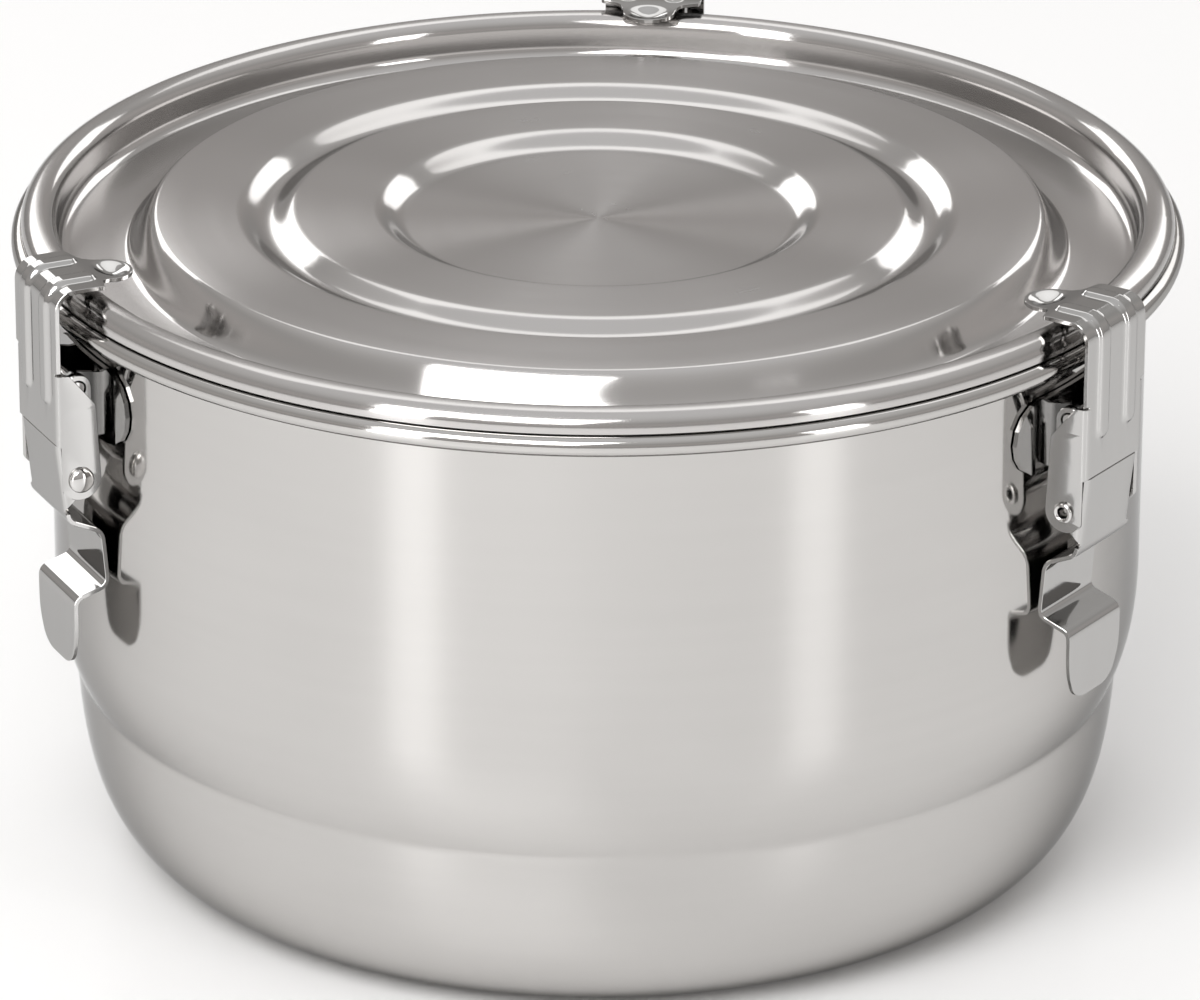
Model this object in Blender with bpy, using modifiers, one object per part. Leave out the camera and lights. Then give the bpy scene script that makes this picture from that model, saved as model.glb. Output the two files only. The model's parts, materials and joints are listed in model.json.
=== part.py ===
"""Round stainless-steel food canister with a clamped lid.

A spun pot with a rolled rim carries a pressed lid. Three over-centre latches, spaced evenly
round the wall, hook over the lid's rim and pull it down on a silicone ring.

Origin: centre of the pot's underside. +Z is up, and the rear latch lies along +Y.
Dimensions below are in millimetres and are turned into metres where meshes are made.
"""
import math

import bmesh
import bpy
from mathutils import Matrix

MM = 0.001
MERGE = 0.00001
STEPS = 48                    # facets round every large turned piece
PIN_STEPS = 16
GAP = 0.3                     # air between neighbouring pieces

# --- pot ---------------------------------------------------------------------------------
SHEET = 0.8                   # thickness of the pot's and the lid's sheet
WALL_R = 110.3                # outside of the straight wall
BASE_FLAT_R = 82.0            # the flat disc it stands on
RING_R = 106.2                # the stepped-in ring low on the wall
RING_Z = 38.7
SHOULDER_Z = 61.0             # the wall is straight above this
BEAD_R = 117.5                # outermost edge of the rolled rim
BEAD_ROLL = 2.05              # radius of the roll
BEAD_Z = 129.0

# --- lid ---------------------------------------------------------------------------------
PANEL_R = 38.4                # sunk disc in the middle
PANEL_Z = 130.9
LAND_Z = 133.7                # the raised rings between the pressed steps
LAND_R = (45.2, 60.3)
GROOVE_Z = 131.2
LAND2_R = (72.6, 88.2)
GUTTER_Z = 129.8
GUTTER_R = (95.0, 105.6)
RIM_INNER_R = 108.4
RIM_CREST_R = 111.6
RIM_CREST_Z = 135.4
SKIRT_R = 115.6
SKIRT_Z = BEAD_Z + BEAD_ROLL + GAP

# --- latches -----------------------------------------------------------------------------
LATCHES = {"right": -30.0, "rear": 88.7, "left": 210.0}   # direction in degrees from +X
STEEL_T = 0.9                 # thickness of the latch sheet
PIVOT = (116.6, 117.2)        # lever pin, as distance from the canister's axis and height
RIVET = (116.8, 98.6)         # hook rivet
PIN_R = 1.5
HOLE_R = PIN_R + GAP
HOOK_HALF = 10.5              # half widths, from the widest piece inwards
LEVER_HALF = HOOK_HALF - STEEL_T - GAP
EAR_HALF = LEVER_HALF - STEEL_T - GAP
EAR_R = 2.7                   # round the lever pins
HOOK_FACE_R = 121.45
LEVER_FACE_R = HOOK_FACE_R - 0.2
SEAM_Z = 106.1                # where the hook's face ends and the lever's begins
HOOK_TOP_Z = 138.4
TAB_END_Z = 57.6
RIB_Y = 4.9                   # two pressed ribs on the hook, either side of its middle
RIB_HALF = 2.2
RIB_RISE = 0.7
RIB_SINK = 0.4                # how far a rib's own solid reaches into the sheet
RIB_INNER_R = 111.4           # where a rib begins on the plate
RIB_END_Z = 115.4             # and where it ends on the face
RIB_RUN_OUT = 1.8
HOOK_BEND = 4.2
BRACKET_Z = 112.9
BRACKET_HALF = (17.6, 7.8)    # half width and half height of the plate on the wall

COLLECTION = "food_canister"
CUTTERS = "food_canister_cutters"


# --- scene and materials -----------------------------------------------------------------
def clear_scene():
    for obj in list(bpy.data.objects):
        bpy.data.objects.remove(obj, do_unlink=True)
    for name in (COLLECTION, CUTTERS):
        old = bpy.data.collections.get(name)
        if old:
            bpy.data.collections.remove(old)
        bpy.context.scene.collection.children.link(bpy.data.collections.new(name))


def principled(name, colour, roughness, metallic):
    material = bpy.data.materials.new(name)
    material.use_nodes = True
    shader = material.node_tree.nodes["Principled BSDF"]
    shader.inputs["Base Color"].default_value = (*colour, 1.0)
    shader.inputs["Roughness"].default_value = roughness
    shader.inputs["Metallic"].default_value = metallic
    return material


def add_object(name, mesh, material, parent=None, location=(0.0, 0.0, 0.0)):
    obj = bpy.data.objects.new(name, mesh)
    bpy.data.collections[COLLECTION].objects.link(obj)
    obj.parent = parent
    obj.location = location
    if material and not mesh.materials:
        mesh.materials.append(material)
    return obj


def add_empty(name, parent=None, location=(0.0, 0.0, 0.0), angle=0.0):
    empty = bpy.data.objects.new(name, None)
    bpy.data.collections[COLLECTION].objects.link(empty)
    empty.empty_display_size = 0.01
    empty.parent = parent
    empty.location = location
    empty.rotation_euler[2] = math.radians(angle)
    return empty


def baked(obj):
    """The object's evaluated mesh, welded; the object itself is removed."""
    bpy.context.view_layer.update()
    evaluated = obj.evaluated_get(bpy.context.evaluated_depsgraph_get())
    mesh = bpy.data.meshes.new_from_object(evaluated)
    welded = bmesh.new()
    welded.from_mesh(mesh)
    bmesh.ops.remove_doubles(welded, verts=welded.verts, dist=MERGE)
    welded.to_mesh(mesh)
    welded.free()
    bpy.data.objects.remove(obj, do_unlink=True)
    return mesh


# --- outlines ----------------------------------------------------------------------------
def arc(centre, radius, start, end, count):
    """Points from angle start to end, in degrees, both included."""
    points = []
    for i in range(count + 1):
        angle = math.radians(start + (end - start) * i / count)
        points.append((centre[0] + radius * math.cos(angle), centre[1] + radius * math.sin(angle)))
    return points


def bezier(p0, p1, p2, p3, count):
    """Points along a cubic curve, both ends included."""
    points = []
    for i in range(count + 1):
        t = i / count
        weights = ((1 - t) ** 3, 3 * t * (1 - t) ** 2, 3 * t * t * (1 - t), t ** 3)
        points.append(tuple(sum(w * p[k] for w, p in zip(weights, (p0, p1, p2, p3)))
                            for k in range(2)))
    return points


def smooth_step(start, end, count):
    """An S between two levels, both ends included, level at both ends."""
    points = []
    for i in range(count + 1):
        t = i / count
        blend = t * t * (3 - 2 * t)
        points.append((start[0] + (end[0] - start[0]) * t, start[1] + (end[1] - start[1]) * blend))
    return points


def about(origin, points):
    return [(x - origin[0], z - origin[1]) for x, z in points]


def mirrored(points):
    """A half outline at positive second coordinate, closed by its reflection."""
    return points + [(x, -y) for x, y in reversed(points) if abs(y) > 1e-6]


# --- solids ------------------------------------------------------------------------------
def polyline_mesh(name, points):
    mesh = bpy.data.meshes.new(name)
    vertices = [(r * MM, 0.0, z * MM) for r, z in points]
    edges = [(i, i + 1) for i in range(len(points) - 1)]
    mesh.from_pydata(vertices, edges, [])
    return mesh


def add_screw(obj, steps):
    screw = obj.modifiers.new("turn", "SCREW")
    screw.axis = "Z"
    screw.steps = steps
    screw.render_steps = steps
    screw.use_merge_vertices = True
    screw.merge_threshold = MERGE
    screw.use_smooth_shade = True


def turned_sheet(name, points, side, material):
    """A spun sheet: the profile is one face, side +1 thickens it to the left of its run."""
    obj = add_object(name, polyline_mesh(name, points), material)
    add_screw(obj, STEPS)
    thickness = obj.modifiers.new("sheet", "SOLIDIFY")
    thickness.thickness = SHEET * MM
    thickness.offset = side
    thickness.use_even_offset = True
    return obj


def turned_pin(name, points):
    """A small turned piece whose axis lies along Y."""
    obj = add_object(name, polyline_mesh(name, points), None)
    add_screw(obj, PIN_STEPS)
    mesh = baked(obj)
    mesh.transform(Matrix.Rotation(math.radians(-90), 4, "X"))
    return mesh


def prism(name, outline, low, high, plane):
    """A flat outline filled and thickened from low to high, across the named plane."""
    curve = bpy.data.curves.new(name, "CURVE")
    curve.dimensions = "2D"
    curve.fill_mode = "BOTH"
    curve.extrude = (high - low) * 0.5 * MM
    spline = curve.splines.new("POLY")
    spline.points.add(len(outline) - 1)
    for point, (u, v) in zip(spline.points, outline):
        point.co = (u * MM, v * MM, 0.0, 1.0)
    spline.use_cyclic_u = True
    curve_object = bpy.data.objects.new(name, curve)
    bpy.data.collections[CUTTERS].objects.link(curve_object)
    mesh = baked(curve_object)
    middle = (high + low) * 0.5 * MM
    if plane == "XZ":
        mesh.transform(Matrix.Rotation(math.radians(90), 4, "X"))
        mesh.transform(Matrix.Translation((0.0, middle, 0.0)))
    elif plane == "YZ":
        mesh.transform(Matrix.Rotation(math.radians(90), 4, "Z")
                       @ Matrix.Rotation(math.radians(90), 4, "X"))
        mesh.transform(Matrix.Translation((middle, 0.0, 0.0)))
    else:
        mesh.transform(Matrix.Translation((0.0, 0.0, middle)))
    return mesh


def strip(name, points, half_width):
    """Sheet bent along a path in XZ; the path is its outer face, running downwards."""
    mesh = bpy.data.meshes.new(name)
    vertices = []
    for x, z in points:
        vertices.append((x * MM, -half_width * MM, z * MM))
        vertices.append((x * MM, half_width * MM, z * MM))
    faces = [(2 * i, 2 * i + 2, 2 * i + 3, 2 * i + 1) for i in range(len(points) - 1)]
    mesh.from_pydata(vertices, [], faces)
    obj = bpy.data.objects.new(name, mesh)
    bpy.data.collections[CUTTERS].objects.link(obj)
    thickness = obj.modifiers.new("sheet", "SOLIDIFY")
    thickness.thickness = STEEL_T * MM
    thickness.offset = -1.0
    thickness.use_even_offset = True
    return baked(obj)


def cylinder_across(name, centre, radius, half_length):
    """A round bar along Y through a point in XZ."""
    return prism(name, arc(centre, radius, 0, 360 - 360 / PIN_STEPS, PIN_STEPS - 1),
                 -half_length, half_length, "XZ")


def combine(name, base, steps):
    """Apply (operation, mesh) pairs to a base mesh, then mirror its +Y half across Y = 0."""
    obj = bpy.data.objects.new(name, base)
    bpy.data.collections[CUTTERS].objects.link(obj)
    operands = []
    for number, (operation, mesh) in enumerate(steps):
        operand = bpy.data.objects.new(f"{name}_{operation.lower()}_{number}", mesh)
        operand.hide_render = True
        operand.display_type = "WIRE"
        bpy.data.collections[CUTTERS].objects.link(operand)
        boolean = obj.modifiers.new(operand.name, "BOOLEAN")
        boolean.operation = operation
        boolean.solver = "EXACT"
        boolean.object = operand
        operands.append(operand)
    mirror = obj.modifiers.new("mirror", "MIRROR")
    mirror.use_axis = (False, True, False)
    mirror.use_bisect_axis = (False, True, False)
    mirror.merge_threshold = MERGE
    mesh = baked(obj)
    for operand in operands:
        bpy.data.objects.remove(operand, do_unlink=True)
    mesh.name = name
    return mesh


# --- pot, lid and seal -------------------------------------------------------------------
def pot_profile():
    """Inner face of the pot, from the hidden end of the rolled rim to the floor's centre."""
    wall = WALL_R - SHEET
    ring = RING_R - SHEET
    roll_centre = (BEAD_R - BEAD_ROLL, BEAD_Z)
    points = [(BEAD_R - 2.3 * BEAD_ROLL, BEAD_Z - BEAD_ROLL)]
    points += arc(roll_centre, BEAD_ROLL, -90, 90, 6)
    mouth_fillet = 2.4
    points += arc((wall + mouth_fillet, BEAD_Z + BEAD_ROLL - mouth_fillet), mouth_fillet, 90, 180, 3)
    points += bezier((wall, SHOULDER_Z), (wall, 52.0), (ring + 3.2, 45.7), (ring, RING_Z), 5)
    points += bezier((ring, RING_Z), (ring - 0.9, 20.0), (102.0 - SHEET, SHEET),
                     (BASE_FLAT_R, SHEET), 9)[1:]
    points.append((0.0, SHEET))
    return points


def lid_profile():
    """Upper face of the lid, from its centre out over the rim and down the skirt."""
    points = [(0.0, PANEL_Z)]
    points += smooth_step((PANEL_R, PANEL_Z), (LAND_R[0], LAND_Z), 4)
    middle = 0.5 * (LAND_R[1] + LAND2_R[0])
    points += smooth_step((LAND_R[1], LAND_Z), (middle, GROOVE_Z), 3)
    points += smooth_step((middle, GROOVE_Z), (LAND2_R[0], LAND_Z), 3)[1:]
    points += smooth_step((LAND2_R[1], LAND_Z), (GUTTER_R[0], GUTTER_Z), 4)
    corner = RIM_INNER_R - GUTTER_R[1]
    points += arc((GUTTER_R[1], GUTTER_Z + corner), corner, -90, 0, 3)
    inner_round = RIM_CREST_R - RIM_INNER_R
    points += arc((RIM_CREST_R, RIM_CREST_Z - inner_round), inner_round, 180, 90, 3)
    outer_round = SKIRT_R - RIM_CREST_R
    skirt_top = (RIM_CREST_R, SKIRT_Z + 0.8)
    for x, z in arc((0.0, 0.0), 1.0, 90, 0, 5)[1:]:
        points.append((skirt_top[0] + outer_round * x, skirt_top[1] + (RIM_CREST_Z - skirt_top[1]) * z))
    points.append((SKIRT_R, SKIRT_Z))
    return points


def gasket_profile():
    """Closed section of the silicone ring held in the lid's rim."""
    inner = RIM_INNER_R + SHEET + GAP
    outer = SKIRT_R - SHEET - GAP
    bottom = BEAD_Z + BEAD_ROLL + GAP
    top = RIM_CREST_Z - SHEET - GAP
    return [(inner, bottom), (inner, top - 1.6), (inner + 1.1, top - 0.4), (RIM_CREST_R, top),
            (outer - 1.4, top - 0.8), (outer, top - 2.2), (outer, bottom), (inner, bottom)]


def make_turned_parts(steel, polished, silicone):
    turned_sheet("canister_body", pot_profile(), 1.0, steel)
    turned_sheet("lid_shell", lid_profile(), -1.0, polished)
    ring = add_object("lid_gasket", polyline_mesh("lid_gasket", gasket_profile()), silicone)
    add_screw(ring, STEPS)


# --- latch pieces, each about its own pivot ----------------------------------------------
def bracket_mesh():
    """Plate that follows the wall, with two ears for the lever's pin."""
    half_width, half_height = BRACKET_HALF
    inner_r = WALL_R + GAP
    straight = half_width - half_height
    outline = arc((straight, BRACKET_Z), half_height, -90, 90, 8)
    outline += arc((-straight, BRACKET_Z), half_height, 90, 270, 8)
    front = prism("bracket_front", outline, inner_r - 10, inner_r + 5, "YZ")
    span = 14.0
    sector = arc((0.0, 0.0), inner_r + STEEL_T, -span, span, 12)
    sector += arc((0.0, 0.0), inner_r, span, -span, 12)
    plate = prism("bracket_plate", sector, BRACKET_Z - 10, BRACKET_Z + 10, "XY")
    root = inner_r + 0.4 * STEEL_T
    ear = [(root, 106.4), (root, 119.4)]
    ear += arc(PIVOT, 3.2, 100, -35, 6)
    ear += [(113.6, 106.4)]
    steps = [("INTERSECT", front),
             ("UNION", prism("bracket_ear", ear, EAR_HALF - STEEL_T, EAR_HALF, "XZ")),
             ("DIFFERENCE", cylinder_across("bracket_bore", PIVOT, HOLE_R, HOOK_HALF))]
    return combine("latch_bracket", plate, steps)


def lever_path():
    """Outer face of the lever: flat face, shelf in to the wall, neck, and finger tab."""
    face = LEVER_FACE_R
    points = [(face, SEAM_Z - 0.4), (119.7, 91.4), (119.2, 89.8), (118.1, 88.6)]
    points += [(114.4, 86.9), (113.4, 86.1), (112.9, 84.8), (112.3, 77.6), (112.4, 76.0)]
    points += [(113.1, 74.8), (116.4, 73.6), (117.8, 72.6), (118.4, 71.0)]
    points += [(118.4, 65.0), (118.2, TAB_END_Z)]
    return about(PIVOT, points)


def lever_mesh():
    """Pressed lever with two cheeks that reach up to the pin."""
    face = LEVER_FACE_R
    cheek = arc(PIVOT, EAR_R, 180, 0, 8)
    cheek += [(PIVOT[0] + 3.4, SEAM_Z - 0.2), (face, SEAM_Z - 0.4), (119.75, 91.9)]
    cheek += [(118.7, 93.0), (115.4, 95.6), (PIVOT[0] - EAR_R, 98.0)]
    inner = LEVER_HALF - STEEL_T
    steps = [("UNION", prism("lever_cheek", about(PIVOT, cheek), inner, LEVER_HALF, "XZ"))]
    for centre in (PIVOT, RIVET):
        bore = cylinder_across("lever_bore", about(PIVOT, [centre])[0], HOLE_R, HOOK_HALF)
        steps.append(("DIFFERENCE", bore))
    tip = [(14.0, 68.0), (LEVER_HALF + 0.5, 68.0), (LEVER_HALF - 0.5, 63.5), (LEVER_HALF - 1.7, 60.4),
           (LEVER_HALF - 4.2, 58.3), (3.0, TAB_END_Z + 0.1), (0.0, TAB_END_Z)]
    waste = tip + [(-y, z) for y, z in reversed(tip[:-1])] + [(-14.0, 50.0), (14.0, 50.0)]
    waste = [(y, z - PIVOT[1]) for y, z in waste]
    steps.append(("DIFFERENCE", prism("lever_tip", waste, -2.0, 8.0, "YZ")))
    return combine("latch_lever", strip("lever_strip", lever_path(), LEVER_HALF), steps)


def hook_path():
    """Outer face of the hook, from the dished tongue out over the bend and down the face."""
    bend = HOOK_BEND
    top = HOOK_TOP_Z
    points = [(101.4, top - 1.0), (103.2, top - 1.5), (105.6, top - 1.6), (108.0, top - 1.0)]
    points += [(110.2, top - 0.3), (113.0, top)]
    points += arc((HOOK_FACE_R - bend, top - bend), bend, 90, 0, 6)
    points += [(HOOK_FACE_R, SEAM_Z + 0.1)]
    return about(RIVET, points)


def rib_outline():
    """Side view of one pressed rib that runs from the plate over the bend to the face."""
    bend = HOOK_BEND
    rise = RIB_RISE
    top = HOOK_TOP_Z
    centre = (HOOK_FACE_R - bend, top - bend)
    points = [(RIB_INNER_R, top - 0.55), (RIB_INNER_R + RIB_RUN_OUT, top + rise)]
    points += arc(centre, bend + rise, 90, 0, 6)
    points += [(HOOK_FACE_R + rise, RIB_END_Z), (HOOK_FACE_R - RIB_SINK, RIB_END_Z - RIB_RUN_OUT)]
    points += arc(centre, bend - RIB_SINK, 0, 90, 6)
    return about(RIVET, points)


def hook_mesh():
    """Draw hook: ribbed face bent over the lid's rim, two cheeks down to the rivet."""
    cheek = [(HOOK_FACE_R, SEAM_Z + 0.1), (HOOK_FACE_R, 120.6), (118.8, 120.6), (113.5, 113.9)]
    cheek += arc(RIVET, 4.2, 180, 340, 8)
    cheek += [(HOOK_FACE_R - 0.6, SEAM_Z + 0.1)]
    inner = HOOK_HALF - STEEL_T
    steps = [("UNION", prism("hook_cheek", about(RIVET, cheek), inner, HOOK_HALF, "XZ")),
             ("UNION", prism("hook_rib", rib_outline(), RIB_Y - RIB_HALF, RIB_Y + RIB_HALF, "XZ"))]
    steps.append(("DIFFERENCE", cylinder_across("hook_bore", (0.0, 0.0), HOLE_R, HOOK_HALF + 1)))
    tongue = [(101.2, 0.0), (101.6, 2.1), (103.0, 4.1), (105.2, 5.3), (108.6, 5.6),
              (110.0, 6.6), (110.4, 8.4), (110.9, 11.5), (98.0, 11.5)]
    waste = mirrored([(x - RIVET[0], y) for x, y in tongue])
    steps.append(("DIFFERENCE", prism("hook_tongue", waste, 30.0, 42.0, "XY")))
    return combine("latch_hook", strip("hook_strip", hook_path(), HOOK_HALF), steps)


def pivot_pin_mesh():
    half = LEVER_HALF - 0.1
    return turned_pin("latch_pivot_pin", [(0.0, half), (PIN_R - 0.3, half), (PIN_R, half - 0.3),
                                          (PIN_R, 0.3 - half), (PIN_R - 0.3, -half), (0.0, -half)])


def rivet_mesh():
    """Domed head on one side, hollow flared end on the other."""
    seat = HOOK_HALF + GAP
    head = [(2.6 * math.sin(a), seat + 0.2 + 1.4 * math.cos(a))
            for a in [math.radians(18 * i) for i in range(6)]]
    shank = [(2.6, seat), (PIN_R, seat), (PIN_R, -seat), (2.1, -seat)]
    flare = [(2.1, -seat - 0.4), (1.7, -seat - 0.7), (1.1, -seat - 0.5), (0.9, -seat), (0.9, 3 - seat)]
    return turned_pin("latch_rivet", head + shank + flare + [(0.0, 3 - seat)])


def make_latches(steel, polished):
    pieces = {"bracket": bracket_mesh(), "lever": lever_mesh(), "hook": hook_mesh(),
              "pivot_pin": pivot_pin_mesh(), "rivet": rivet_mesh()}
    for name, mesh in pieces.items():
        mesh.materials.clear()
        mesh.materials.append(steel if name in ("bracket", "pivot_pin") else polished)
        mesh.shade_smooth()
        mesh.set_sharp_from_angle(angle=math.radians(35))
    pivot = (PIVOT[0] * MM, 0.0, PIVOT[1] * MM)
    rivet = ((RIVET[0] - PIVOT[0]) * MM, 0.0, (RIVET[1] - PIVOT[1]) * MM)
    for side, angle in LATCHES.items():
        frame = add_empty(f"{side}_latch_frame", angle=angle)
        add_object(f"{side}_bracket", pieces["bracket"], None, frame)
        add_object(f"{side}_pivot_pin", pieces["pivot_pin"], None, frame, pivot)
        lever_axis = add_empty(f"{side}_lever_axis", frame, pivot)
        add_object(f"{side}_lever", pieces["lever"], None, lever_axis)
        hook_axis = add_empty(f"{side}_hook_axis", lever_axis, rivet)
        add_object(f"{side}_hook", pieces["hook"], None, hook_axis)
        add_object(f"{side}_rivet", pieces["rivet"], None, hook_axis)


def build():
    clear_scene()
    satin = principled("satin_steel", (0.62, 0.60, 0.58), 0.28, 1.0)
    polished = principled("polished_steel", (0.70, 0.69, 0.68), 0.12, 1.0)
    silicone = principled("clear_silicone", (0.80, 0.80, 0.78), 0.45, 0.0)
    make_turned_parts(satin, polished, silicone)
    make_latches(satin, polished)
    bpy.context.view_layer.update()


build()
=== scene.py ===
import json
import math

import bmesh
import bpy
import numpy as np
from mathutils import Matrix, Vector


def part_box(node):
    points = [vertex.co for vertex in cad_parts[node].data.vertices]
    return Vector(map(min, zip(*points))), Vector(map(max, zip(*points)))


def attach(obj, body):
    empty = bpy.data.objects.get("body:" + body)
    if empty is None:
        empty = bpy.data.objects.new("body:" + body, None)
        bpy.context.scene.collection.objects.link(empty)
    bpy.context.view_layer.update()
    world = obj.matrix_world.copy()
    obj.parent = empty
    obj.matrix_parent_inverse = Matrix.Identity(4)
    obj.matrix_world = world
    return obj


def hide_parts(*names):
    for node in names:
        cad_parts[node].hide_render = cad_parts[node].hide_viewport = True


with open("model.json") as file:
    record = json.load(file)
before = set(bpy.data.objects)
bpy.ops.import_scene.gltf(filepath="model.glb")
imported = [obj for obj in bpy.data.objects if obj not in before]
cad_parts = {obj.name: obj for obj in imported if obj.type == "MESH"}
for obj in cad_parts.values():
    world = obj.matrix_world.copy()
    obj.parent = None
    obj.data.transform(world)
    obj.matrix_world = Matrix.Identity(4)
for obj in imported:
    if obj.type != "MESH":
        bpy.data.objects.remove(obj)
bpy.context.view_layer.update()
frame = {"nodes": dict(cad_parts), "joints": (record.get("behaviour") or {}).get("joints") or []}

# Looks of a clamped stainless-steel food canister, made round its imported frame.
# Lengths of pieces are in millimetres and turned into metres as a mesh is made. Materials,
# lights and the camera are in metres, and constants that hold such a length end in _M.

MM = 0.001
TURNS = 192                   # steps round the pot, lid and seal
SMALL_TURNS = 48              # steps round a rivet or pin
SHARP_ANGLE = 40.0

# --- sizes read from the frame ------------------------------------------------------------
POT_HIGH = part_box("canister_body")[1] / MM
LID_LOW, LID_HIGH = (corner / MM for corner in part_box("lid_shell"))
HOOK_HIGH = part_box("rear_hook")[1] / MM
JOINTS = {joint["name"]: joint for joint in frame["joints"]}

SIDES = ("right", "rear", "left")


def pivot_of(joint_name):
    """A joint's place as (distance from the canister's axis, height), and its direction round it."""
    x, y, z = (value / MM for value in JOINTS[joint_name]["pos_m"])
    return math.hypot(x, y), z, math.atan2(y, x)


PIVOT_R, PIVOT_Z, _ = pivot_of("rear_lever_turn")
RIVET_R, RIVET_Z, _ = pivot_of("rear_hook_turn")
ANGLES = {side: pivot_of(f"{side}_lever_turn")[2] for side in SIDES}

# --- pot ----------------------------------------------------------------------------------
SHEET = 0.8
BEAD_R = POT_HIGH.x
MOUTH_Z = POT_HIGH.z
BEAD_ROLL = 2.05
WALL_R = BEAD_R - 7.2
RING_R, RING_Z = WALL_R - 4.1, 38.7
SHOULDER_Z = 61.0
MOUTH_ROUND = 2.4
BASE_FLAT_R = 82.0
BASE_HANDLE_R = 102.0         # lower handle of the curve from the ring down to the flat base

# --- lid ----------------------------------------------------------------------------------
SKIRT_R = LID_HIGH.x
RIM_CREST_Z = LID_HIGH.z
GUTTER_Z = LID_LOW.z + SHEET
LAND_Z = RIM_CREST_Z - 1.7
PANEL_Z = LAND_Z - 2.8
GROOVE_Z = LAND_Z - 2.5
PANEL_R = 38.4
LAND_R = (45.2, 60.3)
LAND2_R = (72.6, 88.2)
GUTTER_R = (95.0, 105.6)
RIM_INNER_R = SKIRT_R - 7.2
RIM_CREST_R = SKIRT_R - 4.0
SKIRT_Z = MOUTH_Z + 0.3
SKIRT_EDGE = 0.8              # the straight end of the skirt, below its round
SEAL_GAP = 0.3

# --- latches ------------------------------------------------------------------------------
STEEL_T = 0.9
HOOK_HALF = 10.5
LEVER_HALF = 9.3
HOOK_FACE_R = RIVET_R + 4.65
LEVER_FACE_R = HOOK_FACE_R - 0.2
SEAM_Z = RIVET_Z + 7.5        # where the hook's face ends and the lever's begins
HOOK_LOW_Z = SEAM_Z + 0.1
LEVER_HIGH_Z = SEAM_Z - 0.4
HOOK_TOP_Z = HOOK_HIGH.z - 0.7   # the plate's level, with the ribs standing above it
HOOK_BEND = 4.2
CORNER = 1.1                  # outer radius of the folds between faces and cheeks
FOLD_RUN = CORNER * math.pi / 2
EDGE_BREAK = 0.1
HOLE_R = 1.8
PIN_R = 1.5                   # of the pivot pins and the rivets' shanks
CHEEK_TOP_Z = 120.6


# --- outlines -----------------------------------------------------------------------------
def arc(centre, radius, start, end, count):
    angles = np.radians(np.linspace(start, end, count + 1))
    return [(centre[0] + radius * math.cos(a), centre[1] + radius * math.sin(a)) for a in angles]


def bezier(p0, p1, p2, p3, count):
    points = []
    for t in np.linspace(0.0, 1.0, count + 1):
        weights = ((1 - t) ** 3, 3 * t * (1 - t) ** 2, 3 * t * t * (1 - t), t ** 3)
        points.append(tuple(sum(w * p[k] for w, p in zip(weights, (p0, p1, p2, p3)))
                            for k in range(2)))
    return points


def smooth_step(start, end, count):
    """An S between two levels, level at both ends."""
    points = []
    for t in np.linspace(0.0, 1.0, count + 1):
        blend = t * t * (3 - 2 * t)
        points.append((start[0] + (end[0] - start[0]) * t, start[1] + (end[1] - start[1]) * blend))
    return points


def rounded(points, radius, count=5):
    """An open run of points with each inner corner replaced by a small curve."""
    result = [points[0]]
    for before, corner, after in zip(points, points[1:], points[2:]):
        corner_v = Vector(corner)
        into, out = Vector(before) - corner_v, Vector(after) - corner_v
        reach = min(radius, 0.49 * into.length, 0.49 * out.length)
        start, end = corner_v + into.normalized() * reach, corner_v + out.normalized() * reach
        for t in np.linspace(0.0, 1.0, count + 1):
            point = start * (1 - t) ** 2 + corner_v * 2 * t * (1 - t) + end * t * t
            result.append((point.x, point.y))
    result.append(points[-1])
    return result


def parallel(points, distance):
    """The run of points moved to its left by a distance; ends on the axis stay there."""
    array = np.array(points, float)
    along = np.gradient(array, axis=0)
    along /= np.maximum(np.linalg.norm(along, axis=1, keepdims=True), 1e-9)
    moved = array + distance * np.stack([-along[:, 1], along[:, 0]], 1)
    for i in (0, -1):
        if array[i, 0] < 1e-6:
            moved[i] = (0.0, array[i, 1] + distance * (1 if along[i, 0] > 0 else -1))
    return [tuple(p) for p in moved]


# --- meshes -------------------------------------------------------------------------------
def finish_mesh(bm, name):
    bmesh.ops.remove_doubles(bm, verts=bm.verts, dist=1e-7)
    bmesh.ops.recalc_face_normals(bm, faces=bm.faces)
    mesh = bpy.data.meshes.new(name)
    bm.to_mesh(mesh)
    bm.free()
    mesh.shade_smooth()
    mesh.set_sharp_from_angle(angle=math.radians(SHARP_ANGLE))
    return mesh


def lathe(name, section, turns=TURNS):
    """Turn a section round Z: an open one ends on the axis, a closed one repeats its first point."""
    bm = bmesh.new()
    closed = section[0] == section[-1]
    verts = [bm.verts.new((r * MM, 0.0, z * MM)) for r, z in (section[:-1] if closed else section)]
    edges = [bm.edges.new(pair) for pair in zip(verts, verts[1:])]
    if closed:
        edges.append(bm.edges.new((verts[-1], verts[0])))
    bmesh.ops.spin(bm, geom=verts + edges, axis=(0, 0, 1), cent=(0, 0, 0),
                   angle=2 * math.pi, steps=turns)
    return finish_mesh(bm, name)


def add_piece(name, mesh, material, body, node):
    """Show a mesh in place of a CAD node, moving with the node's body."""
    obj = bpy.data.objects.new(name, mesh)
    bpy.context.scene.collection.objects.link(obj)
    mesh.materials.clear()
    mesh.materials.append(material)
    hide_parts(node)
    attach(obj, body)
    return obj


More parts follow.
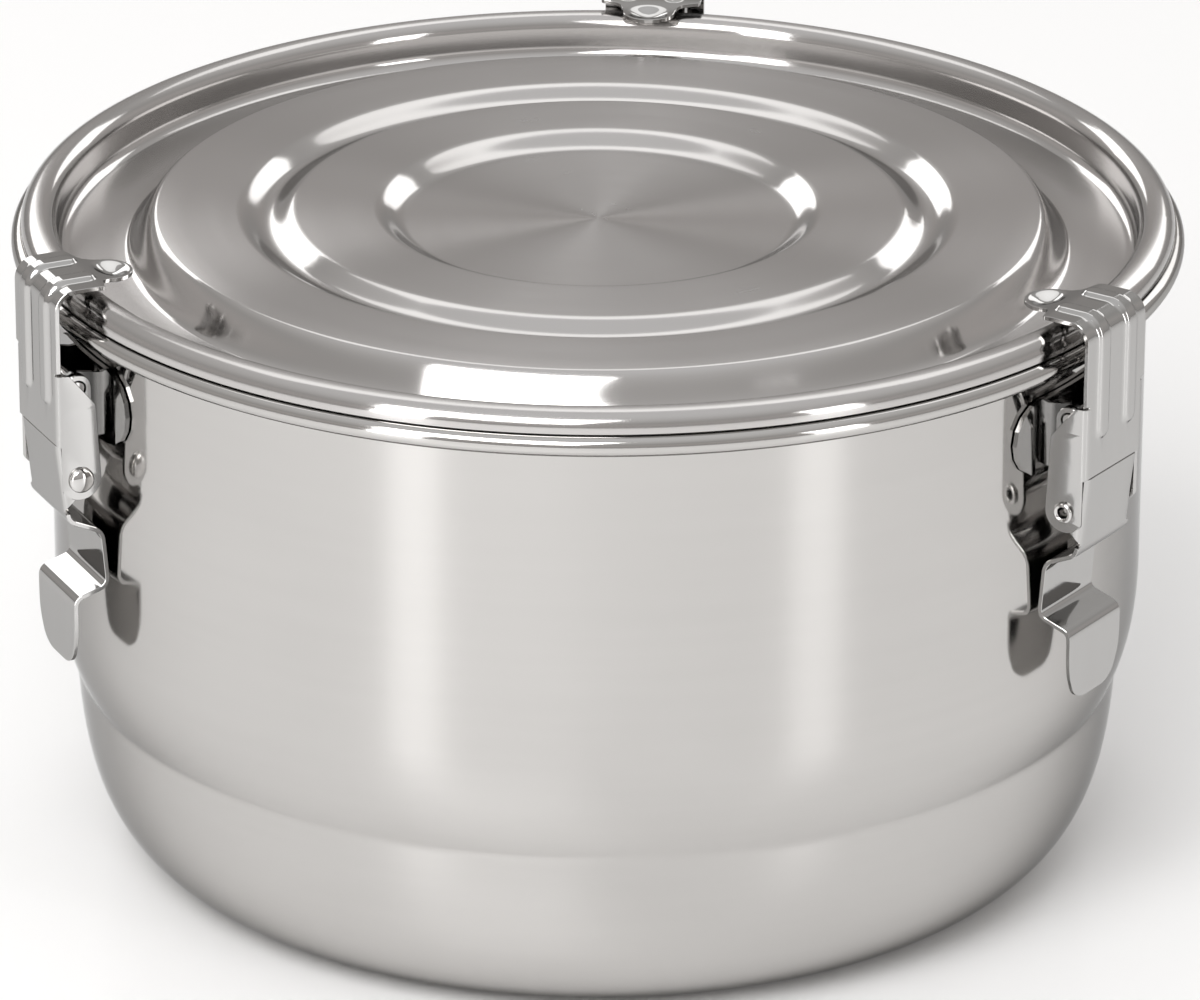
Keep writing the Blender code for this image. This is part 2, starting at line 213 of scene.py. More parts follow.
# --- pot, lid and seal --------------------------------------------------------------------
def pot_section():
    """The rolled rim, the wall, the stepped-in ring and the base, as one sheet."""
    wall = WALL_R - SHEET
    ring = RING_R - SHEET
    inner = [(BEAD_R - 2.3 * BEAD_ROLL, MOUTH_Z - 2 * BEAD_ROLL)]
    inner += arc((BEAD_R - BEAD_ROLL, MOUTH_Z - BEAD_ROLL), BEAD_ROLL, -90, 90, 30)
    inner += arc((wall + MOUTH_ROUND, MOUTH_Z - MOUTH_ROUND), MOUTH_ROUND, 90, 180, 14)
    inner += [(wall, z) for z in np.linspace(MOUTH_Z - MOUTH_ROUND - 3, SHOULDER_Z + 3, 12)]
    inner += bezier((wall, SHOULDER_Z), (wall, 52.0), (ring + 3.0, 45.7),
                    (ring + 0.12, RING_Z + 0.5), 26)
    inner += bezier((ring, RING_Z - 0.5), (ring - 0.9, 20.0), (BASE_HANDLE_R - SHEET, SHEET),
                    (BASE_FLAT_R, SHEET), 60)
    inner += [(r, SHEET) for r in (70.0, 45.0, 20.0, 0.0)]
    outer = parallel(inner, SHEET)
    return inner[::-1] + outer


def lid_section():
    """Centre disc, ring, groove, ring, gutter, rolled rim and skirt, as one sheet."""
    top = [(0.0, PANEL_Z), (12.0, PANEL_Z), (25.0, PANEL_Z)]
    top += smooth_step((PANEL_R, PANEL_Z), (LAND_R[0], LAND_Z), 18)
    top += [(50.0, LAND_Z), (55.0, LAND_Z)]
    middle = 0.5 * (LAND_R[1] + LAND2_R[0])
    top += smooth_step((LAND_R[1], LAND_Z), (middle, GROOVE_Z), 16)
    top += smooth_step((middle, GROOVE_Z), (LAND2_R[0], LAND_Z), 16)[1:]
    top += [(77.0, LAND_Z), (83.0, LAND_Z)]
    top += smooth_step((LAND2_R[1], LAND_Z), (GUTTER_R[0], GUTTER_Z), 18)
    top += [(98.0, GUTTER_Z), (102.0, GUTTER_Z)]
    corner = RIM_INNER_R - GUTTER_R[1]
    top += arc((GUTTER_R[1], GUTTER_Z + corner), corner, -90, 0, 12)
    inner_round = RIM_CREST_R - RIM_INNER_R
    top += arc((RIM_CREST_R, RIM_CREST_Z - inner_round), inner_round, 180, 90, 14)
    outer_round = SKIRT_R - RIM_CREST_R
    round_low_z = SKIRT_Z + SKIRT_EDGE
    drop = RIM_CREST_Z - round_low_z
    for x, z in arc((0.0, 0.0), 1.0, 90, 0, 18)[1:]:
        top.append((RIM_CREST_R + outer_round * x, round_low_z + drop * z))
    top.append((SKIRT_R, SKIRT_Z))
    under = parallel(top, -SHEET)
    return top + under[::-1]


def gasket_section():
    inner = RIM_INNER_R + SHEET + SEAL_GAP
    outer = SKIRT_R - SHEET - SEAL_GAP
    top = RIM_CREST_Z - SHEET - SEAL_GAP
    corners = [(inner, SKIRT_Z), (inner, top - 1.6), (inner + 1.1, top - 0.4), (RIM_CREST_R, top),
               (outer - 1.4, top - 0.8), (outer, top - 2.2), (outer, SKIRT_Z), (inner, SKIRT_Z)]
    return rounded(corners, 0.4) + [corners[0]]


# --- pressed sheet: drawn flat, cut into a grid, folded, thickened ------------------------
def path_sampler(points):
    """Position and outward normal on a bent sheet's outer face, by distance from its first point."""
    array = np.array(points, float)
    steps = np.linalg.norm(np.diff(array, axis=0), axis=1)
    run = np.concatenate([[0.0], np.cumsum(steps)])
    tangents = np.gradient(array, run, axis=0)

    def sample(v):
        v_in = min(max(v, 0.0), run[-1])
        place = np.array([np.interp(v_in, run, array[:, k]) for k in range(2)])
        tangent = np.array([np.interp(v_in, run, tangents[:, k]) for k in range(2)])
        tangent /= np.linalg.norm(tangent)
        return place + tangent * (v - v_in), tangent
    return sample, run[-1]


def flat_sheet(loops, u_cuts, v_cuts):
    """A flat sheet in (u, v), in millimetres: the first loop is its outline, the others are holes."""
    curve = bpy.data.curves.new("flat", "CURVE")
    curve.dimensions = "2D"
    curve.fill_mode = "BOTH"
    for loop in loops:
        spline = curve.splines.new("POLY")
        spline.points.add(len(loop) - 1)
        for point, (u, v) in zip(spline.points, loop):
            point.co = (u, v, 0.0, 1.0)
        spline.use_cyclic_u = True
    obj = bpy.data.objects.new("flat", curve)
    bpy.context.scene.collection.objects.link(obj)
    bpy.context.view_layer.update()
    mesh = bpy.data.meshes.new_from_object(obj.evaluated_get(bpy.context.evaluated_depsgraph_get()))
    bpy.data.objects.remove(obj, do_unlink=True)
    bm = bmesh.new()
    bm.from_mesh(mesh)
    bmesh.ops.remove_doubles(bm, verts=bm.verts, dist=0.01)
    for index, cuts in ((0, u_cuts), (1, v_cuts)):
        normal = [0.0, 0.0, 0.0]
        normal[index] = 1.0
        for cut in cuts:
            point = [0.0, 0.0, 0.0]
            point[index] = cut
            geometry = bm.verts[:] + bm.edges[:] + bm.faces[:]
            bmesh.ops.bisect_plane(bm, geom=geometry, dist=0.02, plane_co=point, plane_no=normal)
    bmesh.ops.recalc_face_normals(bm, faces=bm.faces)
    return bm


def folded(sample, side_sign, half, fold_end, press):
    """How a flat sheet bends: a function of u, v and the depth w below its outer face.

    v runs along the path, side_sign turns the path's tangent into its outward normal, cheeks
    fold where v is below fold_end, and press(u, v) is how far the sheet is pushed outwards.
    """
    straight = half - CORNER

    def place(u, v, w):
        at, tangent = sample(v)
        normal = side_sign * np.array([tangent[1], -tangent[0]])
        over = abs(u) - straight
        if over <= 0 or v > fold_end:
            across, depth = u, w - press(u, v)
        elif over < FOLD_RUN:
            turn = over / CORNER
            across = math.copysign(straight + (CORNER - w) * math.sin(turn), u)
            depth = CORNER - (CORNER - w) * math.cos(turn)
        else:
            across = math.copysign(half - w, u)
            depth = CORNER + over - FOLD_RUN
        x, z = at - normal * depth
        return Vector((x, across, z)) * MM
    return place


def sheet_metal(name, flat, place):
    """Give a flat sheet its bends, its thickness and slightly broken edges."""
    outward = {}
    for rim in (e for e in flat.edges if e.is_boundary):
        a, b = rim.verts
        along = (b.co - a.co).normalized()
        side = Vector((along.y, -along.x, 0.0))
        if side.dot(rim.link_faces[0].calc_center_median() - a.co) > 0:
            side = -side
        for vert in (a, b):
            outward[vert] = outward.get(vert, Vector()) + side
    bm = bmesh.new()
    outer, inner, upper, lower = {}, {}, {}, {}
    for vert in flat.verts:
        u, v = vert.co.x, vert.co.y
        outer[vert] = bm.verts.new(place(u, v, 0.0))
        inner[vert] = bm.verts.new(place(u, v, STEEL_T))
        if vert in outward:
            push = outward[vert].normalized() * EDGE_BREAK
            upper[vert] = bm.verts.new(place(u + push.x, v + push.y, EDGE_BREAK))
            lower[vert] = bm.verts.new(place(u + push.x, v + push.y, STEEL_T - EDGE_BREAK))
    for face in flat.faces:
        bm.faces.new([outer[v] for v in face.verts])
        bm.faces.new([inner[v] for v in reversed(face.verts)])
    for rim in (e for e in flat.edges if e.is_boundary):
        a, b = rim.verts
        for high, low in ((outer, upper), (upper, lower), (lower, inner)):
            bm.faces.new([high[a], high[b], low[b], low[a]])
    flat.free()
    return finish_mesh(bm, name)


def hole(u, v):
    return arc((u, v), HOLE_R, 0, 352.5, 47)


def cheek_u(face_r, half, r):
    """Where a point of a cheek, at distance r from the axis, lies on the flat sheet."""
    return half - CORNER + FOLD_RUN + (face_r - r) - CORNER


def both_sides(half_outline):
    """A closed outline from its +u half, which starts and ends on u = 0."""
    return half_outline + [(-u, v) for u, v in reversed(half_outline) if u > 1e-6]


def capsule(u, v, centre_u, low, high):
    """Distance from a line along v at centre_u or at -centre_u, between low and high."""
    return math.hypot(abs(u) - centre_u, v - min(max(v, low), high))


# --- hook ---------------------------------------------------------------------------------
PLATE_START_R = HOOK_FACE_R - HOOK_BEND
PLATE_LEVEL_R = 113.0         # the plate is level out here and falls towards its tongue
PLATE_DROP = 1.0
TONGUE_TIP_R = 101.2
BOWL_R = 105.4
BOWL_REACH = (4.9, 3.9)       # half the bowl's width and length
BOWL_SINK = 1.25
RIB_U = 4.9
RIB_HALF = 2.4
RIB_RISE = 0.75
RIB_LOW_Z = 115.6
RIB_INNER_R = 110.4
RIB_FLANK = 0.5               # share of a rib's half width in which it rises
HOOK_LOBE_R = 4.2
HOOK_BACK = (113.5, 113.9)    # the upper back corner of a hook's cheek
TONGUE = ((110.9, 10.4), (110.3, 8.2), (109.7, 6.5), (108.2, 5.6), (105.2, 5.3), (103.0, 4.2),
          (101.6, 2.2), (TONGUE_TIP_R, 0.0))   # its edge, as distance from the axis and half width


def hook_path():
    centre = (PLATE_START_R, HOOK_TOP_Z - HOOK_BEND)
    points = [(HOOK_FACE_R, z) for z in np.linspace(HOOK_LOW_Z, centre[1] - 0.4, 6)]
    points += arc(centre, HOOK_BEND, 0, 90, 24)
    points.append((0.5 * (PLATE_START_R + PLATE_LEVEL_R), HOOK_TOP_Z))
    slope = smooth_step((PLATE_LEVEL_R, HOOK_TOP_Z), (BOWL_R, HOOK_TOP_Z - PLATE_DROP), 20)
    return points + slope + [(TONGUE_TIP_R, HOOK_TOP_Z - PLATE_DROP)]


def hook_mesh():
    sample, _ = path_sampler(hook_path())
    bend_start = HOOK_TOP_Z - HOOK_BEND - HOOK_LOW_Z
    plate_start = bend_start + HOOK_BEND * math.pi / 2

    def v_of_z(z):
        return z - HOOK_LOW_Z

    def v_of_r(r):
        return plate_start + PLATE_START_R - r

    def u_of_r(r):
        return cheek_u(HOOK_FACE_R, HOOK_HALF, r)

    cheek_top = v_of_z(CHEEK_TOP_Z)
    cheek = [HOOK_BACK] + arc((RIVET_R, RIVET_Z), HOOK_LOBE_R, 180, 335, 16)
    half = [(0.0, 0.0), (HOOK_HALF - 0.9, 0.0), (u_of_r(HOOK_FACE_R - 0.8), -0.4)]
    half += [(u_of_r(r), v_of_z(z)) for r, z in reversed(cheek)]
    half += [(u_of_r(118.9), cheek_top), (HOOK_HALF - 1.2, cheek_top + 0.1),
             (HOOK_HALF - 1.1, cheek_top + 0.7), (HOOK_HALF, cheek_top + 1.0)]
    half += rounded([(HOOK_HALF, v_of_r(118.0)), (HOOK_HALF, v_of_r(111.8))]
                    + [(u, v_of_r(r)) for r, u in TONGUE], 1.6)
    outline = both_sides(half)

    rib_low, rib_high = v_of_z(RIB_LOW_Z), v_of_r(RIB_INNER_R + RIB_HALF)
    bowl_v = v_of_r(BOWL_R)

    def press(u, v):
        edge = 1.0 - capsule(u, v, RIB_U, rib_low, rib_high) / RIB_HALF
        blend = min(max(edge / RIB_FLANK, 0.0), 1.0)
        rib = RIB_RISE * blend * blend * (3 - 2 * blend)
        bowl = math.hypot(u / BOWL_REACH[0], (v - bowl_v) / BOWL_REACH[1])
        sink = BOWL_SINK * (1 - bowl * bowl) ** 2 if bowl < 1 else 0.0
        return rib - sink

    fine = [RIB_U + x for x in np.linspace(-RIB_HALF, RIB_HALF, 19)]
    folds = [HOOK_HALF - CORNER + x for x in np.linspace(0.0, FOLD_RUN, 7)]
    inner = list(np.linspace(0.0, RIB_U - RIB_HALF, 7))
    outer = list(np.linspace(RIB_U + RIB_HALF, HOOK_HALF - CORNER, 4))
    u_half = sorted(set(np.round(inner + fine + outer + folds, 4)))
    u_cuts = sorted(set([-u for u in u_half] + u_half))
    v_cuts = list(np.linspace(rib_low - RIB_HALF, rib_low + RIB_HALF, 17))
    v_cuts += list(np.linspace(rib_low + RIB_HALF, bend_start, 6)[1:])
    v_cuts += list(np.linspace(bend_start, plate_start, 20)[1:])
    v_cuts += list(np.linspace(plate_start, v_of_r(TONGUE_TIP_R), 52)[1:-1])
    holes = [hole(sign * u_of_r(RIVET_R), v_of_z(RIVET_Z)) for sign in (1, -1)]
    flat = flat_sheet([outline, *holes], u_cuts, v_cuts)
    return sheet_metal("hook", flat, folded(sample, 1.0, HOOK_HALF, cheek_top + 0.3, press))


# --- lever --------------------------------------------------------------------------------
TAB_END_Z = 57.6
FACE_FOOT = (119.7, 91.4)     # the face leans in towards here
CHEEK_FOOT = (119.75, 91.9)   # the cheeks fold off the face down to here
LEVER_EAR_R = 2.7
LEVER_CORNERS = ((119.47, 89.25), (112.5, 86.0), (111.55, 75.1), (118.4, 72.9), (118.4, 65.0))
LEVER_BENDS = (1.9, 1.7, 1.5, 1.9, 3.0)


def lever_path():
    corners = [(LEVER_FACE_R, LEVER_HIGH_Z), *LEVER_CORNERS, (118.2, TAB_END_Z)]
    points = [corners[0]]
    for i, radius in enumerate(LEVER_BENDS, 1):
        points += rounded([points[-1], corners[i], corners[i + 1]], radius, 12)[1:-1]
    points.append(corners[-1])
    return points


def lever_mesh():
    sample, length = path_sampler(lever_path())
    half_w = LEVER_HALF
    start = Vector((LEVER_FACE_R, LEVER_HIGH_Z))
    down = (Vector(FACE_FOOT) - start).normalized()
    inward = Vector((down.y, -down.x))

    def on_sheet(r, z):
        """Where a point of a cheek lies on the flat sheet."""
        offset = Vector((r, z)) - start
        return half_w - CORNER + FOLD_RUN + offset.dot(inward) - CORNER, offset.dot(down)

    foot_v = on_sheet(*CHEEK_FOOT)[1]
    head = arc((PIVOT_R, PIVOT_Z), LEVER_EAR_R, 0, 180, 16)
    cheek = head + [(PIVOT_R - LEVER_EAR_R, 98.0), (115.4, 95.6), (118.5, 93.2)]
    tip = [(half_w, length - 10.0), (half_w - 0.3, length - 6.0), (half_w - 2.2, length - 1.6),
           (half_w - 5.0, length), (0.0, length)]
    half = [(0.0, 0.0), (half_w - 1.2, 0.0), on_sheet(LEVER_FACE_R - 1.3, SEAM_Z - 0.2)]
    half += [on_sheet(r, z) for r, z in cheek]
    half += [(half_w - 0.6, foot_v), (half_w - 0.8, foot_v + 0.5), (half_w, foot_v + 0.9)]
    half += rounded([(half_w, foot_v + 2.0), *tip], 2.4, 6)
    outline = both_sides(half)

    folds = [half_w - CORNER + x for x in np.linspace(0.0, FOLD_RUN, 7)]
    u_half = list(np.linspace(0.0, half_w - CORNER, 8)) + folds
    u_cuts = sorted(set([-u for u in u_half] + u_half))
    v_cuts = list(np.linspace(foot_v - 1.0, length - 12.0, 96)) + list(np.linspace(-12, 12, 6))
    holes = [hole(sign * u, v) for sign in (1, -1)
             for u, v in (on_sheet(PIVOT_R, PIVOT_Z), on_sheet(RIVET_R, RIVET_Z))]
    flat = flat_sheet([outline, *holes], u_cuts, v_cuts)
    return sheet_metal("lever", flat, folded(sample, -1.0, half_w, foot_v + 0.2, lambda u, v: 0.0))


# --- small turned pieces ------------------------------------------------------------------
def across(mesh, r, z):
    """Turn a lathed mesh's axis to Y and move it to a pivot."""
    mesh.transform(Matrix.Translation((r * MM, 0.0, z * MM)) @ Matrix.Rotation(-math.pi / 2, 4, "X"))
    return mesh


def rivet_mesh():
    seat = HOOK_HALF + 0.05
    dome = [(2.6 * math.sin(a), seat + 0.25 + 1.35 * math.cos(a))
            for a in np.radians(range(0, 91, 6))]
    shank = rounded([dome[-1], (2.55, seat), (PIN_R, seat), (PIN_R, -seat), (2.0, -seat - 0.1),
                     (2.15, -seat - 0.45), (1.75, -seat - 0.8), (1.15, -seat - 0.55),
                     (0.95, 3.5 - seat), (0.0, 3.5 - seat)], 0.25, 4)
    return across(lathe("rivet", dome[:-1] + shank, SMALL_TURNS), RIVET_R, RIVET_Z)


def pin_mesh():
    half = LEVER_HALF - 0.1
    section = rounded([(0.0, half), (PIN_R, half), (PIN_R, -half), (0.0, -half)], 0.3, 4)
    return across(lathe("pivot_pin", section, SMALL_TURNS), PIVOT_R, PIVOT_Z)


# --- materials ----------------------------------------------------------------------------
NOISE_RANGE = (0.3, 0.7)      # where nearly all of a noise's values lie
SCRATCH_SCALE = 3800.0
STREAK_SCALE = 420.0
SMUDGE_SCALE = 26.0
SMUDGE_SHADE = 0.965          # how dark a smudge leaves the steel
TURNED_STRETCH = 0.004        # the grain's noise is drawn out this much along its lines
ROLLED_STRETCH = 0.06
LEVEL_RANGE = (0.95, 0.995)   # the normal's Z where a face begins to count as level, and does fully
# painted shade on the bracket's arms: their colour is darkened to this share, fading in over the next
# length, to stand in for the shade between the latch's cheeks and the pot
PAINTED_SHADE_SHARE = 0.34
PAINTED_SHADE_FADE_M = 0.0012
PAINTED_SHADE_BEYOND_M = (WALL_R + 1.9) * MM   # the bracket's plate is inside this radius, its arms outside


def add_math(nodes, links, operation, *values):
    """A Math node fed by sockets or numbers."""
    node = nodes.new("ShaderNodeMath")
    node.operation = operation
    for socket, value in zip(node.inputs, values):
        if isinstance(value, (int, float)):
            socket.default_value = value
        else:
            links.new(value, socket)
    return node.outputs[0]


def add_noise(nodes, links, vector, scale, detail=3.0):
    noise = nodes.new("ShaderNodeTexNoise")
    noise.inputs["Scale"].default_value = scale
    noise.inputs["Detail"].default_value = detail
    links.new(vector, noise.inputs["Vector"])
    return noise.outputs[0]


def remap(nodes, links, value, before, after=(0.0, 1.0)):
    node = nodes.new("ShaderNodeMapRange")
    numbers = (*before, *after)
    for name, number in zip(("From Min", "From Max", "To Min", "To Max"), numbers):
        node.inputs[name].default_value = number
    links.new(value, node.inputs["Value"])
    return node.outputs["Result"]


def mix_colours(nodes, links, factor, first, second):
    """A colour between two others, each a tuple or a socket."""
    node = nodes.new("ShaderNodeMix")
    node.data_type = "RGBA"
    links.new(factor, node.inputs["Factor"])
    for name, colour in (("A", first), ("B", second)):
        if isinstance(colour, tuple):
            node.inputs[name].default_value = (*colour, 1.0)
        else:
            links.new(colour, node.inputs[name])
    return node.outputs["Result"]


def darker(colour, share):
    return tuple(share * c for c in colour)


def spread(nodes, links, value, low, high):
    """Stretch a noise value, which keeps near one half, over low to high."""
    return remap(nodes, links, value, NOISE_RANGE, (low, high))


def add_anisotropy(nodes, links, shader, amount):
    """Stretch the shine across rings turned round the axis."""
    shader.inputs["Anisotropic"].default_value = amount
    shader.inputs["Anisotropic Rotation"].default_value = 0.25
    tangent = nodes.new("ShaderNodeTangent")
    tangent.direction_type = "RADIAL"
    tangent.axis = "Z"
    links.new(tangent.outputs["Tangent"], shader.inputs["Tangent"])


def add_bump(nodes, links, shader, height, depth_m):
    bump = nodes.new("ShaderNodeBump")
    bump.inputs["Distance"].default_value = depth_m
    links.new(height, bump.inputs["Height"])
    links.new(bump.outputs["Normal"], shader.inputs["Normal"])


def new_material(name):
    material = bpy.data.materials.new(name)
    material.use_nodes = True
    tree = material.node_tree
    return material, tree.nodes, tree.links, tree.nodes["Principled BSDF"]


def steel(name, colour, roughness, grain, haze_m, edge_tint=0.75, anisotropy=0.0, level_extra=0.0,
          painted_shade_beyond_m=0.0):
    """Polished steel, with smudges in its roughness and colour and fine scratches as bump.

    roughness is (clean, smudged), grain is "turned" for rings round the axis or "rolled" for lines
    along Z, and haze_m is the scratches' height. Level faces are rougher by level_extra, and turned
    steel further from the axis than the last argument's radius gets a painted shade: its colour is
    darkened to stand in for the shade that falls there.
    """
    material, nodes, links, shader = new_material(name)
    shader.inputs["Metallic"].default_value = 1.0
    shader.inputs["Specular Tint"].default_value = (edge_tint, edge_tint, edge_tint, 1.0)
    if anisotropy:
        add_anisotropy(nodes, links, shader, anisotropy)
    coordinates = nodes.new("ShaderNodeTexCoord").outputs
    place = coordinates["Object"]
    parts = nodes.new("ShaderNodeSeparateXYZ")
    links.new(place, parts.inputs[0])
    x, y, z = parts.outputs
    if grain == "turned":
        angle = add_math(nodes, links, "ARCTAN2", y, x)
        square = add_math(nodes, links, "MULTIPLY_ADD", x, x, add_math(nodes, links, "MULTIPLY", y, y))
        radius = add_math(nodes, links, "SQRT", square)
        lines = (add_math(nodes, links, "MULTIPLY", angle, TURNED_STRETCH), radius, z)
    else:
        lines = (x, y, add_math(nodes, links, "MULTIPLY", z, ROLLED_STRETCH))
    along = nodes.new("ShaderNodeCombineXYZ")
    for value, socket in zip(lines, along.inputs):
        links.new(value, socket)
    scratches = add_noise(nodes, links, along.outputs[0], SCRATCH_SCALE, 2.0)
    smudges = add_noise(nodes, links, place, SMUDGE_SCALE, 4.0)
    streaks = add_noise(nodes, links, along.outputs[0], STREAK_SCALE)
    blend = add_math(nodes, links, "ADD", add_math(nodes, links, "MULTIPLY", smudges, 0.6),
                     add_math(nodes, links, "MULTIPLY", streaks, 0.4))
    rough = spread(nodes, links, blend, *roughness)
    if level_extra:
        facing = nodes.new("ShaderNodeSeparateXYZ")
        links.new(coordinates["Normal"], facing.inputs[0])
        level = remap(nodes, links, facing.outputs["Z"], LEVEL_RANGE, (0.0, level_extra))
        rough = add_math(nodes, links, "ADD", rough, level)
    links.new(rough, shader.inputs["Roughness"])
    finish = mix_colours(nodes, links, spread(nodes, links, blend, 0.0, 1.0), colour,
                         darker(colour, SMUDGE_SHADE))
    # painted shade: beyond the given radius the colour is darkened, standing in for the shade round
    # the latch
    if painted_shade_beyond_m:
        edge = remap(nodes, links, radius, (painted_shade_beyond_m, painted_shade_beyond_m + PAINTED_SHADE_FADE_M))
        finish = mix_colours(nodes, links, edge, finish, darker(colour, PAINTED_SHADE_SHARE))
    links.new(finish, shader.inputs["Base Color"])
    add_bump(nodes, links, shader, add_math(nodes, links, "POWER", scratches, 3.0), haze_m)
    return material


def silicone():
    material, nodes, links, shader = new_material("clear_silicone")
    shader.inputs["Subsurface Weight"].default_value = 0.35
    shader.inputs["Subsurface Radius"].default_value = (0.004, 0.004, 0.0035)
    place = nodes.new("ShaderNodeTexCoord").outputs["Object"]
    clouds = add_noise(nodes, links, place, 60.0)
    links.new(spread(nodes, links, clouds, 0.3, 0.5), shader.inputs["Roughness"])
    links.new(mix_colours(nodes, links, clouds, (0.80, 0.80, 0.77), (0.74, 0.74, 0.70)),
              shader.inputs["Base Color"])
    add_bump(nodes, links, shader, add_noise(nodes, links, place, 900.0), 2e-5)
    return material


# --- assembly -----------------------------------------------------------------------------
WALL_STEEL = steel("polished_wall_steel", (0.565, 0.552, 0.538), (0.07, 0.12), "turned", 2e-6,
                   edge_tint=0.45, anisotropy=0.8)
LID_STEEL = steel("spun_lid_steel", (0.57, 0.555, 0.545), (0.10, 0.15), "turned", 4e-6,
                  edge_tint=0.7, anisotropy=0.9, level_extra=0.13)
LATCH_STEEL = steel("pressed_latch_steel", (0.53, 0.524, 0.516), (0.05, 0.12), "rolled", 1e-6,
                    edge_tint=0.5)
# the bracket's arms get a painted shade, a darkened colour standing in for the shade round the latch
BRACKET_STEEL = steel("bracket_steel", (0.54, 0.535, 0.528), (0.06, 0.13), "turned", 1e-6,
                      edge_tint=0.5, painted_shade_beyond_m=PAINTED_SHADE_BEYOND_M)
BRIGHT_STEEL = steel("bright_steel", (0.64, 0.63, 0.62), (0.04, 0.08), "rolled", 4e-7)

add_piece("pot", lathe("pot", pot_section()), WALL_STEEL, "canister", "canister_body")
add_piece("lid", lathe("lid", lid_section()), LID_STEEL, "lid", "lid_shell")
add_piece("lid_seal", lathe("lid_seal", gasket_section()), silicone(), "lid", "lid_gasket")

LATCH_MESHES = {"hook": hook_mesh(), "lever": lever_mesh(), "rivet": rivet_mesh(),
                "pivot_pin": pin_mesh()}
for side in SIDES:
    bodies = {"hook": f"draw_hook_{side}", "rivet": f"draw_hook_{side}",
              "lever": f"lever_{side}", "pivot_pin": "canister"}
    for piece, body in bodies.items():
        mesh = LATCH_MESHES[piece].copy()
        mesh.transform(Matrix.Rotation(ANGLES[side], 4, "Z"))
        material = BRIGHT_STEEL if piece in ("rivet", "pivot_pin") else LATCH_STEEL
        add_piece(f"{side}_{piece}_fine", mesh, material, body, f"{side}_{piece}")
    bracket = frame["nodes"][f"{side}_bracket"]
    bracket.data.materials.clear()
    bracket.data.materials.append(BRACKET_STEEL)


# --- floor, light and camera --------------------------------------------------------------
FLOOR_SIZE_M = 12.0
FLOOR_Z_M = -0.0002
FLOOR_COLOUR = (0.94, 0.94, 0.94, 1.0)
LIGHTS_AIM_M = (0.0, 0.0, 0.07)
# name: azimuth and elevation in degrees, distance, width and height in metres, power in watts;
# azimuth 0 is on the camera's side, and grows to its right
SOFTBOXES = {
    "key": (-24.0, 44.0, 2.2, 1.4, 1.2, 29.0),
    "overhead": (176.0, 58.0, 1.9, 1.8, 0.8, 3.8),
    "strip_left": (-37.0, 14.0, 2.0, 0.36, 1.1, 5.5),
    "strip_right": (45.0, 14.0, 2.0, 0.36, 1.1, 5.0),
    "back_left": (206.0, 24.0, 2.4, 1.0, 0.8, 6.0),
    "back_right": (150.0, 24.0, 2.4, 1.0, 0.8, 4.5),
}
# the sky's colour, by the sine of the height above the horizon; below the horizon it is as at 0
WORLD_STOPS = (
    (0.0, (0.42, 0.41, 0.40)), (0.30, (0.53, 0.505, 0.49)), (0.50, (0.46, 0.45, 0.44)),
    (0.72, (0.62, 0.61, 0.60)), (1.0, (0.8, 0.8, 0.8)),
)
CAMERA_AZIMUTH = 4.4          # the camera stands this far round from -Y towards +X
CAMERA_ELEVATION = 21.2
CAMERA_ROLL = 0.2
CAMERA_DISTANCE_M = 1.66
CAMERA_PIVOT_M = (0.0, 0.0, 0.12)
IMAGE_WIDTH, IMAGE_HEIGHT = 1200.0, 1000.0
FOCAL = 6.876                 # focal length as a share of the picture's width
PIVOT_AT = (0.4975, 0.2685)   # where the pivot falls in the picture, from its left and top


def towards(azimuth, elevation):
    """The direction from the canister to something at these angles from -Y, as a unit vector."""
    a, e = math.radians(azimuth), math.radians(elevation)
    return Vector((math.cos(e) * math.sin(a), -math.cos(e) * math.cos(a), math.sin(e)))


def aim(obj, target):
    direction = Vector(target) - obj.location
    obj.rotation_mode = "QUATERNION"
    obj.rotation_quaternion = direction.to_track_quat("-Z", "Y")


def add_floor():
    bpy.ops.mesh.primitive_plane_add(size=FLOOR_SIZE_M, location=(0.0, 0.0, FLOOR_Z_M))
    floor = bpy.context.object
    floor.name = "studio_floor"
    material, _, _, shader = new_material("pale_floor")
    shader.inputs["Base Color"].default_value = FLOOR_COLOUR
    shader.inputs["Roughness"].default_value = 0.33
    shader.inputs["Specular IOR Level"].default_value = 0.4
    floor.data.materials.append(material)


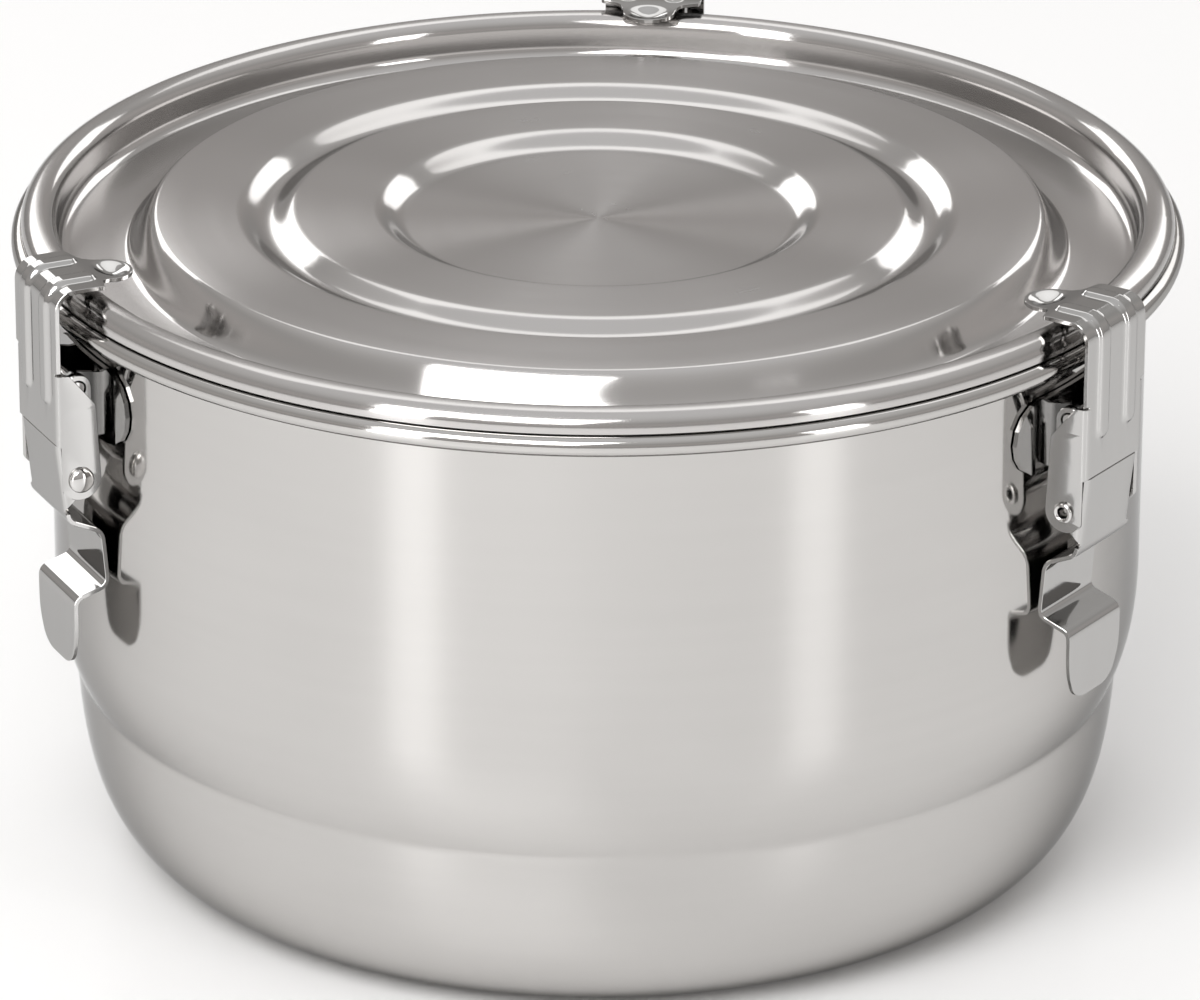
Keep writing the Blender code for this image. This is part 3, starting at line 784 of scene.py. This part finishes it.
def add_softbox(name, azimuth, elevation, distance, width, height, power):
    """A rectangular light aimed at the canister."""
    light = bpy.data.lights.new(name, "AREA")
    light.shape = "RECTANGLE"
    light.size = width
    light.size_y = height
    light.energy = power
    obj = bpy.data.objects.new(name, light)
    bpy.context.scene.collection.objects.link(obj)
    obj.location = Vector(LIGHTS_AIM_M) + distance * towards(azimuth + CAMERA_AZIMUTH, elevation)
    aim(obj, LIGHTS_AIM_M)


def add_world():
    world = bpy.data.worlds.new("studio")
    bpy.context.scene.world = world
    world.use_nodes = True
    nodes, links = world.node_tree.nodes, world.node_tree.links
    coordinates = nodes.new("ShaderNodeTexCoord")
    split = nodes.new("ShaderNodeSeparateXYZ")
    ramp = nodes.new("ShaderNodeValToRGB")
    links.new(coordinates.outputs["Generated"], split.inputs[0])
    links.new(split.outputs["Z"], ramp.inputs["Fac"])
    links.new(ramp.outputs["Color"], nodes["Background"].inputs["Color"])
    elements = ramp.color_ramp.elements
    while len(elements) < len(WORLD_STOPS):
        elements.new(0.5)
    for element, (position, colour) in zip(elements, WORLD_STOPS):
        element.position = position
        element.color = (*colour, 1.0)


def add_camera():
    data = bpy.data.cameras.new("camera")
    data.sensor_width = 36.0
    data.lens = FOCAL * data.sensor_width
    camera = bpy.data.objects.new("camera", data)
    bpy.context.scene.collection.objects.link(camera)
    bpy.context.scene.camera = camera
    away = towards(CAMERA_AZIMUTH, CAMERA_ELEVATION)
    camera.location = Vector(CAMERA_PIVOT_M) + CAMERA_DISTANCE_M * away
    aim(camera, CAMERA_PIVOT_M)
    right = (PIVOT_AT[0] - 0.5) / FOCAL
    up = (0.5 - PIVOT_AT[1]) * IMAGE_HEIGHT / IMAGE_WIDTH / FOCAL
    turn = Matrix.Rotation(math.atan(right), 3, "Y") @ Matrix.Rotation(-math.atan(up), 3, "X")
    roll = Matrix.Rotation(math.radians(CAMERA_ROLL), 3, "Z")
    camera.rotation_quaternion = camera.rotation_quaternion @ (turn @ roll).to_quaternion()


bpy.context.scene.view_settings.view_transform = "Standard"
add_floor()
add_world()
for light_name, numbers in SOFTBOXES.items():
    add_softbox(light_name, *numbers)
add_camera()
